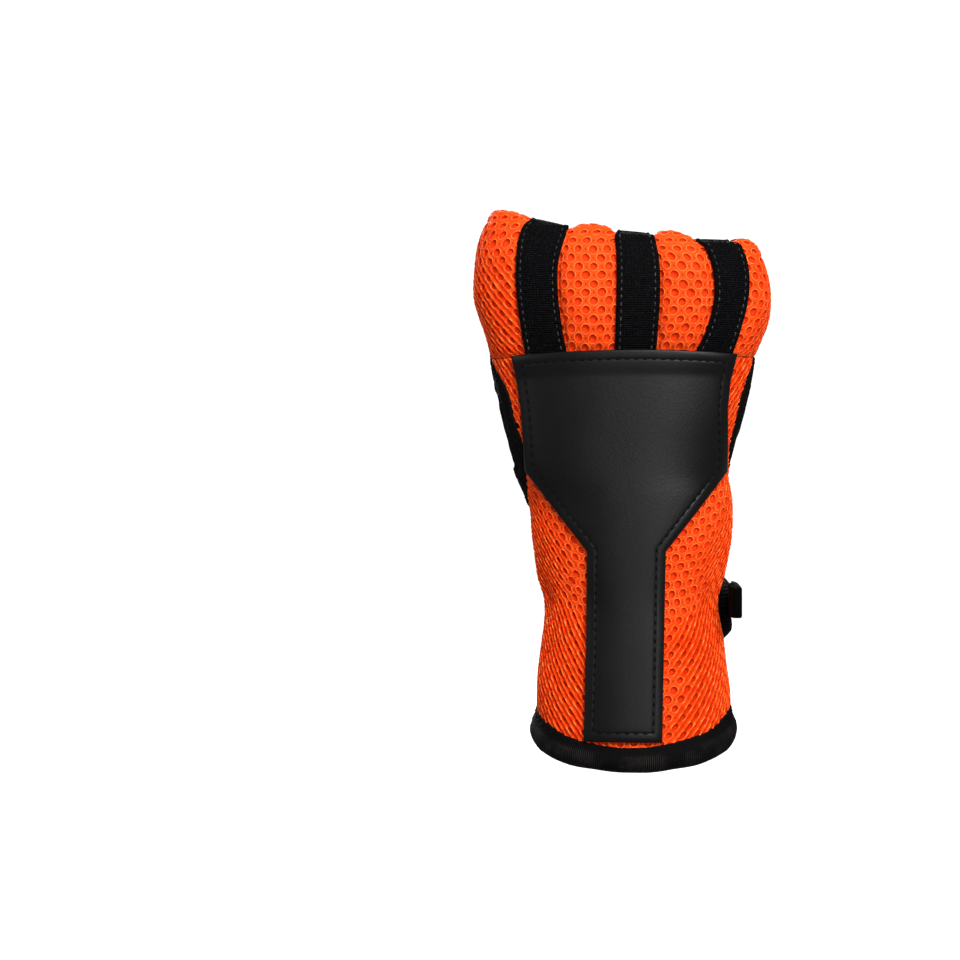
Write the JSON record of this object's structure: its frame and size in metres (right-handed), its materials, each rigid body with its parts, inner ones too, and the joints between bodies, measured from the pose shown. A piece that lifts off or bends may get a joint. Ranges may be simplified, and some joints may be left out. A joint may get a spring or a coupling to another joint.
{
  "type": "boxing inner glove",
  "caption": "Boxing inner glove: a perforated mesh sleeve with padded knuckle lobes, elastic straps between the fingers, an open palm and a flap that wraps over the wrist.",
  "frame": {"origin": "centre of the wrist opening, level with the lowest part of the hem", "axes": "+Z along the forearm towards the fingertips, -Y out of the back of the hand, +Y out of the palm, -X to the thumb side"},
  "size_m": [0.1073, 0.0592, 0.2013],
  "materials": {
    "spacer_mesh": "matt knitted spacer mesh with round holes",
    "ribbed_elastic": "matt finely ribbed woven elastic",
    "binding_tape": "matt knitted tape with a ribbed roll",
    "leatherette": "satin embossed synthetic leather",
    "webbing": "matt woven polyester webbing"
  },
  "bodies": {
    "root": {"mesh_body": "spacer_mesh", "knuckle_pad": "spacer_mesh", "strap_index_middle": "ribbed_elastic", "strap_middle_ring": "ribbed_elastic", "strap_ring_little": "ribbed_elastic", "palm_binding": "binding_tape", "flap_binding": "binding_tape", "wrist_hem": "binding_tape", "index_edging": "binding_tape", "little_edging": "binding_tape", "back_patch": "leatherette", "flap_patch": "leatherette", "pull_tab": "webbing"}
  },
  "joints": []
}
